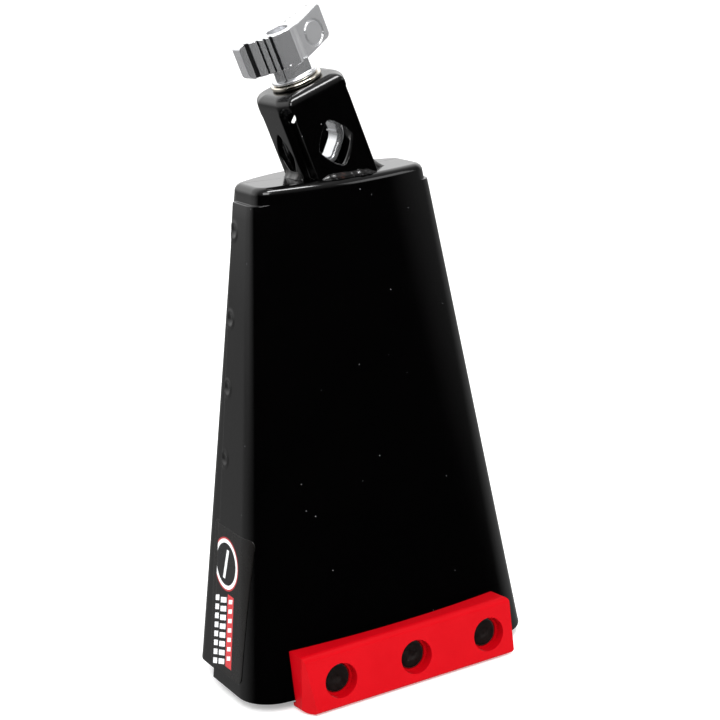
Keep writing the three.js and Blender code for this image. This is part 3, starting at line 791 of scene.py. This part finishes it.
def make_bar(material):
    """The bar: a section swept along the crowned face, then trimmed and drilled."""
    rings = []
    for x in np.linspace(*BAR_X, 67):
        lip = face_depth(x, 0.0) + BAR_LIP
        section = rounded([(0.0, BAR_TOP), (-BAR_THICK, BAR_TOP), (-BAR_THICK, BAR_BOTTOM),
                           (lip, BAR_BOTTOM + LIP_RISE * (lip - BAR_LIP)),
                           (lip, BAR_LIP_TOP)], [0, 2.6, 1.5, 1.5, 0], 5)
        ring = [(x, face_depth(x, z) - BAR_GAP, z) for z in np.linspace(0.5, BAR_TOP, 12)]
        ring += [(x, y, z) for y, z in section[1:]]
        ring.append((x, face_depth(x, 0.0) - BAR_GAP, BAR_LIP_TOP))
        rings.append(ring)
    bar = make_object("bar_moulding", *loft(rings))
    # Its outline from the front has rounded corners
    left, right = BAR_X
    outline = rounded([(left - 0.5, BAR_BOTTOM), (right, BAR_BOTTOM), (right, BAR_TOP),
                       (left - 0.5, BAR_TOP)], [3.2, 1.8, 2.2, 0.9], 8)
    combine(bar, make_object("cut", *prism(outline, 1, -12.0, 8.0)), "INTERSECT")
    # The left end slants, more so towards the bottom
    rings = []
    for height, front, beyond in ((BAR_TOP, 0.5, 0.75), (BAR_BOTTOM, 4.0, 6.0)):
        wedge = [(left - 8, -0.2), (left, -0.2), (left + front, -BAR_THICK - 0.01),
                 (left + beyond, -BAR_THICK - 4), (left - 8, -BAR_THICK - 4)]
        rings.append(np.insert(np.array(wedge), 2, height, axis=1))
    top, low = rings
    past = (low - top) * 0.2
    combine(bar, make_object("cut", *loft([low + past, top - past])), "DIFFERENCE")
    holes = ((COUNTERBORE / 2, -FLOOR - LEDGE_STEP), (LEDGE / 2, -FLOOR), (RIVET_HOLE / 2, 3.0))
    for x in RIVETS:
        for radius, depth in holes:
            cut(bar, circle(radius, 72, (x, RIVET_Z)), 1, -12.0, depth)
    bevel(bar, 0.55, 4, 28.0)
    bar.visible_glossy = False
    finish_piece(bar, FACE, "bell", material, "ridge_bar")


def make_rivet(name, node, x, material):
    """A rivet with a dimpled head on the bar's floor and a set tail inside the bell."""
    head = -FLOOR - 0.3
    tail = face_depth(abs(x) + 3.8, RIVET_Z) + SHEET + 0.3
    profile = [(0.0, tail + 1.9), (2.2, tail + 1.85), (3.0, tail + 1.6), (3.6, tail + 1.1),
               (3.8, tail + 0.6), (3.75, tail), (2.4, tail), (2.4, head), (5.7, head),
               (5.8, head - 0.15), (5.75, head - 0.55), (5.45, head - 0.85),
               (4.6, head - 1.08), (3.0, head - 1.22), (1.9, head - 1.27),
               (1.6, head - 1.12), (0.0, head - 1.10)]
    obj = make_object(name, *lathe(profile, 64, 1, (x, RIVET_Z)))
    finish_piece(obj, FACE, "bell", material, node)


# ---- bracket and welds


def square_ring(width, depth, z):
    """A rectangle whose corners are cut off between the legs' edges, then rounded."""
    x, y = width / 2, depth / 2
    a = (BRACKET["width"] - FRONT_LEG) / 2 - 0.2
    b = (BRACKET["depth"] - SIDE_LEG) / 2 - 0.4
    outline = rounded([(-x, -y + b), (-x + a, -y), (x - a, -y), (x, -y + b),
                       (x, y - b), (x - a, y), (-x + a, y), (-x, y - b)], 1.2, 4)
    return [(px, py, z) for px, py in outline]


def bent_block(width, depth, top, bend, name):
    """A block that reaches well below the closed end, with a bend round its top."""
    rings = [square_ring(width, depth, -20.0)]
    for angle in np.linspace(0, pi / 2, 11):
        inset = 2 * bend * (1 - cos(angle))
        z = top - bend + bend * sin(angle)
        rings.append(square_ring(width - inset, depth - inset, z))
    return make_object(name, *loft(rings))


def rod_hole(half_width, half_height):
    """A rounded diamond, |x/a|^n + |z/b|^n = 1 with n = 1.3."""
    angles = np.linspace(0, 2 * np.pi, 96, endpoint=False)
    c, s = np.cos(angles), np.sin(angles)
    power = 2 / 1.3
    return np.stack([half_width * np.sign(c) * np.abs(c) ** power,
                     ROD_HEIGHT + half_height * np.sign(s) * np.abs(s) ** power], 1)


def make_bracket(material):
    """The box clamp: a bent plate, slotted at its corners, with its holes and foot cut."""
    b = BRACKET
    bracket = bent_block(b["width"], b["depth"], b["height"], b["bend"], "bracket_plate")
    inner = bent_block(b["width"] - 2 * b["sheet"], b["depth"] - 2 * b["sheet"],
                       b["height"] - b["sheet"], b["bend"] - b["sheet"], "cut")
    combine(bracket, inner, "DIFFERENCE")
    x0, x1 = FRONT_LEG / 2, b["width"] / 2
    y0, y1 = SIDE_LEG / 2, b["depth"] / 2
    for sx in (-1, 1):
        for sy in (-1, 1):
            end = b["height"] - SLOT_TOP - (BACK_SLOT_DROP if sy > 0 else 0.0)
            corner = [(sx * x0, sy * y0), (sx * (x1 + 5), sy * y0),
                      (sx * (x1 + 5), sy * (y1 + 5)), (sx * x0, sy * (y1 + 5))]
            cut(bracket, corner, 2, -21.0, end)
            # The arched slot end, across the corner
            turn = Matrix.Translation((sx * (x0 + x1) / 2, sy * (y0 + y1) / 2, end))
            turn = turn @ Matrix.Rotation(atan2(sy * (x1 - x0), sx * (y1 - y0)), 4, "Z")
            cut(bracket, circle(SLOT_ARCH, 48), 0, -12.0, 12.0, turn)
    cut(bracket, rod_hole(*FRONT_HOLE), 1, -30.0, 30.0)
    cut(bracket, rod_hole(*SIDE_HOLE), 0, -30.0, 30.0)
    cut(bracket, circle(PLATE_HOLE, 64), 2, 20.0, 60.0)
    closed_end = CLAMP.inverted() @ BELL @ Matrix.Translation((0, 0, HEIGHT))
    cut(bracket, [(-90, -60), (90, -60), (90, 60), (-90, 60)], 2, -60.0, 0.05, closed_end)
    soften(bracket, 0.3, 6)
    finish_piece(bracket, CLAMP, "bell", material, "mount_bracket")


def make_weld(name, start, end, out, size, rise, lumps, material):
    """A bead between a leg's wall and the closed end, from start to end.

    Both are measured from the bracket's middle. "out" is the way out from the leg's foot.
    """
    start = Vector((FOOT[0] + start[0], FOOT[1] + start[1], HEIGHT))
    end = Vector((FOOT[0] + end[0], FOOT[1] + end[1], HEIGHT))
    out = Vector(out)
    lean = Vector((-tan(LEAN), 0.0, 1.0))
    steps = 60
    rings = []
    for i in range(steps + 1):
        t = i / steps
        taper = min(1.0, sin(pi * min(max(t, 0.004), 0.996)) * 2.2) ** 0.6
        centre = start.lerp(end, t)
        ripple = 1 + lumps * noise.noise(centre * 0.35 + Vector((7.1, size, 0)))
        ripple += lumps * 0.3 * noise.noise(centre * 0.9)
        ring = []
        for s in range(15):
            turn = s / 14
            # From the wall at full rise to the closed end at full reach
            reach = size * taper * ripple * turn ** 1.25
            high = rise * taper * ripple * (1 - turn) ** 1.35
            wobble = 0.1 * lumps * noise.noise((centre + out * reach) * 0.8)
            ring.append(centre + lean * (high + wobble * (1 - turn)) + out * (reach + 0.02))
        ring.append(centre + out * size * taper * ripple - Vector((0, 0, 0.15)))
        ring.append(centre - out * 0.3 - Vector((0, 0, 0.15)))
        ring.append(centre + lean * rise * taper * 0.9 - out * 0.25)
        rings.append([tuple(p) for p in ring])
    obj = make_object("weld_bead_" + name, *loft(rings))
    finish_piece(obj, BELL, "bell", material, "bracket_weld_" + name)


def make_welds(material):
    """A thick bead on the right, where the clamp leans away from it, and three thin ones."""
    x = BRACKET["width"] / 2 / cos(LEAN)
    y = BRACKET["depth"] / 2
    side, front = SIDE_LEG / 2 - 0.6, FRONT_LEG / 2 - 0.5
    for name, start, end, out, size, rise, lumps in (
        ("right", (x, -side), (x, side), (1, 0, 0), 5.2, 6.0, 0.10),
        ("left", (-x, side), (-x, -side), (-1, 0, 0), 2.2, 2.6, 0.14),
        ("front", (-front, -y), (front, -y), (0, -1, 0), 2.2, 1.9, 0.24),
        ("back", (front, y), (-front, y), (0, 1, 0), 2.2, 1.9, 0.24),
    ):
        make_weld(name, start, end, out, size, rise, lumps, material)


# ---- eye bolt, washer, wing nut

EYE = {"radius": 6.9, "wall": 2.9, "width": 9.0, "centre": 16.0, "point": 2.0}
NECK_RADIUS, NECK_END = 4.55, 40.0
RIB_HEIGHTS = (11.4, 14.8)
THREAD_RADIUS, THREAD_DEPTH = 3.95, 0.62
THREAD_START, THREAD_END = 31.0, 58.6
PITCH = 25.4 / 18


def teardrop(grow, count=120):
    """The eye's outline, round above and V-shaped below, grown outwards by "grow"."""
    radius, point = EYE["radius"] + grow, EYE["point"] + grow
    low = EYE["centre"] - (radius - point) * sqrt(2)
    most = count * 3 // 4
    upper = np.linspace(-pi / 4, 1.25 * pi, most)
    lower = np.linspace(1.25 * pi, 1.75 * pi, count - most)
    return np.concatenate([
        np.stack([radius * np.cos(upper), EYE["centre"] + radius * np.sin(upper)], 1),
        np.stack([point * np.cos(lower), low + point * np.sin(lower)], 1),
    ])


def make_eye(material):
    """The eye with its neck, and small flash ribs across the inside of each wall."""
    half, wall = EYE["width"] / 2, EYE["wall"]
    inner, outer = teardrop(0.0), teardrop(wall)
    section = rounded([(0.0, -half), (wall, -half), (wall, half), (0.0, half)], 1.25, 6)
    loops = []
    for out, y in section:
        ring = inner + (outer - inner) * out / wall
        loops.append(np.insert(ring, 1, y, axis=1))
    loops.append(loops[0])
    eye = make_object("eye_bolt_forging", *loft(loops, closed_ends=False))
    top = EYE["centre"] + EYE["radius"]
    neck = [(0.0, top + 0.8), (NECK_RADIUS, top + 0.8), (NECK_RADIUS, top + 3.4),
            (4.35, top + 4.0), (THREAD_RADIUS, top + 4.5), (THREAD_RADIUS, NECK_END),
            (0.0, NECK_END)]
    combine(eye, make_object("neck", *lathe(neck, 72)), "UNION")
    for side in (-1, 1):
        for z in RIB_HEIGHTS:
            x = side * (EYE["radius"] - 0.05)
            rib = rounded([(x - 0.5, z - 0.5), (x + 0.5, z - 0.5), (x + 0.5, z + 0.5),
                           (x - 0.5, z + 0.5)], 0.3, 3)
            combine(eye, make_object("rib", *prism(rib, 1, -half + 0.5, half - 0.5)), "UNION")
    bevel(eye, 0.3, 2, 40.0)
    finish_piece(eye, CLAMP, "eye", material, "eye_bolt")


def make_thread(material):
    """The shank with its real helical thread."""
    around, per_turn = 48, 10
    start, end = THREAD_START, THREAD_END
    rows = int((end - start) / PITCH * per_turn)
    rings = []
    for r in range(rows + 1):
        z = lerp(start, end, r / rows)
        ring = []
        for a in range(around):
            phase = (z / PITCH - a / around) % 1.0
            depth = abs(phase - 0.5) * 2
            tooth = min(max((depth - 0.12) / 0.76, 0.0), 1.0)
            fade = min((end - z) / 1.0, 1.0)
            radius = THREAD_RADIUS - THREAD_DEPTH * tooth - 0.5 * (1 - fade)
            angle = 2 * pi * a / around
            ring.append((radius * cos(angle), radius * sin(angle), z))
        rings.append(ring)
    obj = make_object("eye_bolt_thread", *loft(rings))
    finish_piece(obj, CLAMP, "eye", material, "eye_bolt")


WASHER = {"gap": 0.3, "thick": 1.6, "inner": 4.5, "outer": 10.25}


def make_washer(material):
    """A flat washer with rounded edges, just above the bracket's plate."""
    low = BRACKET["height"] + WASHER["gap"]
    high = low + WASHER["thick"]
    r0, r1 = WASHER["inner"], WASHER["outer"]
    profile = [(r0, low + 0.2), (r0 + 0.2, low), (r1 - 0.4, low), (r1 - 0.1, low + 0.12),
               (r1, low + 0.45), (r1, high - 0.55), (r1 - 0.12, high - 0.2),
               (r1 - 0.5, high), (r0 + 0.2, high), (r0, high - 0.2), (r0, low + 0.2)]
    obj = make_object("washer_ring", *lathe(profile, 128))
    finish_piece(obj, CLAMP, "washer", material, "bolt_washer")


NUT = {"bottom": 41.3, "hub": 5.9, "reach": 20.5, "thick": 7.8, "rise": 14.0}
WING_LOW = NUT["bottom"] + NUT["hub"]
WING_TOP = WING_LOW + NUT["rise"]
NUT_TURN = radians(6.0)
BARREL_RADIUS, HUB_ACROSS, FLANGE_RADIUS = 7.6, 14.6, 9.3
# A wing's pushed face: where it starts beside the barrel (out from the axis, out from the
# middle plane), and how far from the middle plane it ends
PUSHED_START, PUSHED_END = (4.6, 6.3), 2.6
# A wing's grooved face: where it starts, and how much further than half the thickness it
# lies from the middle plane there and at the end
GRIP_START, GRIP_ROOT, GRIP_END = 6.4, 1.7, -0.5
# Grip grooves on one face of each wing: distance from the axis, width and depth
GRIPS = ((6.9, 1.3, 1.2), (9.6, 0.9, 1.0), (12.4, 0.9, 1.0), (17.0, 1.9, 1.0))
NUT_RING = {"out": 12.4, "up": 7.2, "radius": 4.9, "half": 0.3, "depth": 0.55}


def wing_outline():
    """The wings from the front: both edges dip in the middle and rise to the ends."""
    low, top, end = WING_LOW, WING_TOP, NUT["reach"]
    right = [(0.0, low), (5.0, low + 0.05), (10.0, low + 0.7), (15.0, low + 1.6),
             (end - 1.6, low + 2.2), (end, low + 3.8), (end, top + 0.8),
             (end - 1.6, top + 2.2), (15.0, top + 1.5), (10.0, top + 0.6), (6.0, top),
             (0.0, top)]
    return right + [(-x, z) for x, z in reversed(right[1:-1])]


def wing_plan():
    """The wings from above: each pushed face runs out to the end from the barrel's side."""
    end = NUT["reach"]
    start_x, start_y = PUSHED_START
    front = [(-end, -3.4), (-GRIP_START, -5.6), (-3.6, -7.2), (0.6, -7.8),
             (start_x, -start_y), (end, -PUSHED_END)]
    return front + [(-x, -y) for x, y in front]


def grip_face(x):
    """How far from the middle plane a wing's grooved face lies."""
    share = (x - GRIP_START) / (NUT["reach"] - GRIP_START)
    return NUT["thick"] / 2 + lerp(GRIP_ROOT, GRIP_END, share)


def paint_groove_shade(nut):
    """Writes painted shade for the grip grooves, from how deep in one each corner lies, to the
    UV map "grooves".
    """
    layer = nut.data.uv_layers.new(name="grooves")
    for loop in nut.data.loops:
        at = nut.data.vertices[loop.vertex_index].co
        # How much painted shade this corner gets from its depth in a groove
        dark = 0.0
        for x, width, depth in GRIPS:
            off = abs(abs(at.x) - x)
            same = at.x * at.y > 0
            if same and off < width / 2 + 0.1:
                sunk = (grip_face(abs(at.x)) - abs(at.y)) / depth
                if sunk < 1.6:
                    dark = max(dark, min(max(sunk * 1.5 - 0.15, 0.0), 0.96))
        layer.data[loop.index].uv = (dark, 0.0)


def engrave_ring(nut, side):
    """Cuts a plain ring into the pushed face of one wing."""
    deep = NUT_RING["depth"]
    rim = circle(NUT_RING["radius"] + NUT_RING["half"], 72)
    ring = make_object("ring", *prism(rim, 1, -deep, deep))
    cut(ring, circle(NUT_RING["radius"] - NUT_RING["half"], 72), 1, -2.0, 2.0)
    (start_x, start_y), end = PUSHED_START, NUT["reach"]
    share = (NUT_RING["out"] - start_x) / (end - start_x)
    slope = atan2(start_y - PUSHED_END, end - start_x)
    at = Vector((side * NUT_RING["out"], -side * lerp(start_y, PUSHED_END, share),
                 WING_LOW + NUT_RING["up"]))
    ring.data.transform(Matrix.Translation(at) @ Matrix.Rotation(slope, 4, "Z"))
    combine(nut, ring, "DIFFERENCE")


def make_nut(material):
    """The wing nut: wings, barrel, hexagonal hub and flange, bored, grooved and softened."""
    low, top, foot = WING_LOW, WING_TOP, NUT["bottom"]
    nut = make_object("wing_nut_casting", *prism(rounded(wing_outline(), 2.2, 8), 1, -9.0, 9.0))
    plan = make_object("plan", *prism(rounded(wing_plan(), 1.3, 6), 2, low - 4, top + 8))
    combine(nut, plan, "INTERSECT")
    barrel = [(0.0, low), (6.4, low), (BARREL_RADIUS, low + 0.8), (BARREL_RADIUS, top - 0.8),
              (7.0, top), (0.0, top)]
    combine(nut, make_object("barrel", *lathe(barrel, 72)), "UNION")
    hexagon = circle(HUB_ACROSS / 2 / cos(pi / 6), 6)
    combine(nut, make_object("hub", *prism(hexagon, 2, foot + 0.3, low + 1.0)), "UNION")
    flange = [(0.0, foot), (8.9, foot), (FLANGE_RADIUS, foot + 0.3),
              (FLANGE_RADIUS, foot + 1.0), (8.9, foot + 1.4), (7.6, foot + 1.5),
              (0.0, foot + 1.5)]
    combine(nut, make_object("flange", *lathe(flange, 96)), "UNION")
    cut(nut, circle(NUT_BORE, 64), 2, foot - 4, top + 8)
    for side in (-1, 1):
        for x, width, depth in GRIPS:
            y = side * grip_face(x)
            groove = [(side * x - width / 2, y - depth), (side * x + width / 2, y - depth),
                      (side * x + width / 2, y + depth), (side * x - width / 2, y + depth)]
            cut(nut, groove, 2, low - 3, top + 6)
        engrave_ring(nut, side)
    soften(nut, 0.16, 8)
    # Painted shade for the grip grooves
    paint_groove_shade(nut)
    turned = CLAMP @ Matrix.Rotation(NUT_TURN, 4, "Z")
    finish_piece(nut, turned, "nut", material, "wing_nut")


# ---- the object

paint = gloss_black("bell_gloss_black", rough=0.1, dust=0.25, peel=0.035)
bracket_paint = gloss_black("bracket_gloss_black", rough=0.16, dust=0.3, peel=0.06)
plating = chrome("satin_chrome", 0.17, 0.08, tint=(0.74, 0.745, 0.76), metallic=0.85)
bright_plating = chrome("bright_chrome", 0.2, 0.1, tint=(0.82, 0.83, 0.85), metallic=0.8)
nickel = chrome("warm_nickel", 0.16, 0.08, tint=(0.80, 0.75, 0.66), metallic=1.0)
plastic = red_plastic()
dark_rivet = rivet_metal()
weld_paint = weld_metal()
film = label_film()

make_bell(paint)
make_label(film)
make_bar(plastic)
for where, x in zip(("left", "middle", "right"), RIVETS):
    make_rivet("rivet_" + where, "bar_rivet_" + where, x, dark_rivet)
make_bracket(bracket_paint)
make_welds(weld_paint)
make_eye(bright_plating)
make_thread(bright_plating)
make_washer(nickel)
make_nut(plating)

# ---- floor, light and camera

scene = bpy.context.scene
scene.view_settings.view_transform = "Standard"


def make_floor():
    """A pale floor that glows a little and that mirror rays pass by."""
    bm = bmesh.new()
    bmesh.ops.create_grid(bm, x_segments=8, y_segments=8, size=6.0)
    mesh = bpy.data.meshes.new("floor")
    bm.to_mesh(mesh)
    bm.free()
    floor = bpy.data.objects.new("floor", mesh)
    scene.collection.objects.link(floor)
    floor.location.z = cad_low.z - 0.0002
    material, _, shader, place = new_material("pale_floor")
    cloud = noise_at(place, 3.0, 2.0)
    link(mix(cloud, (0.93, 0.93, 0.93), (0.96, 0.96, 0.96)), shader, "Base Color")
    link(spread(cloud, 0.3, 0.7, 0.6, 0.7), shader, "Roughness")
    mesh.materials.append(material)
    shader.inputs["Emission Color"].default_value = (1.0, 1.0, 1.0, 1.0)
    shader.inputs["Emission Strength"].default_value = 0.3
    floor.visible_glossy = False


def make_world():
    """Plain white to the camera and an even light for diffuse rays.

    Mirror rays meet white behind the object, dimmer light above and to the far right, and
    near black low in front.
    """
    world = bpy.data.worlds.new("studio")
    scene.world = world
    world.use_nodes = True
    tree = world.node_tree
    tree.nodes.clear()
    place = add(tree, "TexCoord").outputs["Generated"]
    way = add(tree, "SeparateXYZ", {"Vector": place})
    behind = spread(way.outputs[1], -0.15, 0.45, 0.0, 1.0)
    level = spread(way.outputs[2], -0.12, 0.25, 0.31, 1.6)
    back = times(behind, level)
    above = spread(way.outputs[2], 0.1, 0.9, 0.0, 0.5)
    right = spread(way.outputs[0], 0.72, 1.0, 0.004, 0.35)
    light = maths("MAXIMUM", maths("MAXIMUM", back, above), right)
    path = add(tree, "LightPath")
    soft = times(path.outputs["Is Diffuse Ray"], 0.84)
    strength = maths("MAXIMUM", maths("MAXIMUM", light, soft),
                     path.outputs["Is Camera Ray"])
    background = add(tree, "Background", {"Strength": strength})
    background.inputs["Color"].default_value = (1.0, 1.0, 1.0, 1.0)
    out = add(tree, "OutputWorld")
    tree.links.new(background.outputs[0], out.inputs[0])


def make_light(name, way, distance, size, power):
    """A soft rectangular lamp, set by its direction and distance from the object's middle."""
    data = bpy.data.lights.new(name, "AREA")
    data.shape = "RECTANGLE"
    data.size, data.size_y = size
    data.energy = power
    lamp = bpy.data.objects.new(name, data)
    scene.collection.objects.link(lamp)
    direction = Vector(way).normalized()
    lamp.location = (cad_low + cad_high) / 2 + direction * distance
    lamp.rotation_euler = direction.to_track_quat("Z", "Y").to_euler()


make_floor()
make_world()
make_light("key", (-0.45, -0.75, 0.75), distance=1.1, size=(0.7, 0.5), power=7.0)
make_light("fill", (0.75, -0.7, 0.55), distance=1.4, size=(0.8, 0.5), power=2.5)
# A small lamp overhead draws the bright streak along the closed end's front bend
make_light("streak", (0.06, -0.38, 0.90), distance=1.0, size=(0.40, 0.20), power=5.0)


def make_camera(azimuth, elevation, roll, distance, target, focal):
    """A camera on a ray from its target (mm on the bell), rolled about its own axis."""
    a, e, r = (radians(v) for v in (azimuth, elevation, roll))
    back = Vector((sin(a) * cos(e), -cos(a) * cos(e), sin(e)))
    right = Vector((cos(a), sin(a), 0.0))
    up = back.cross(right)
    x_axis = right * cos(r) + up * sin(r)
    y_axis = up * cos(r) - right * sin(r)
    data = bpy.data.cameras.new("camera")
    data.sensor_width = 36.0
    data.lens = focal
    data.clip_start, data.clip_end = 0.05, 40.0
    camera = bpy.data.objects.new("camera", data)
    scene.collection.objects.link(camera)
    position = BELL @ Vector(target) + back * distance
    turned = Matrix((x_axis, y_axis, back)).transposed().to_4x4()
    camera.matrix_world = Matrix.Translation(position) @ turned
    scene.camera = camera


make_camera(azimuth=-28.929, elevation=15.821, roll=-3.821, distance=0.74288,
            target=(7.719, 0.0, 124.027), focal=90.468)
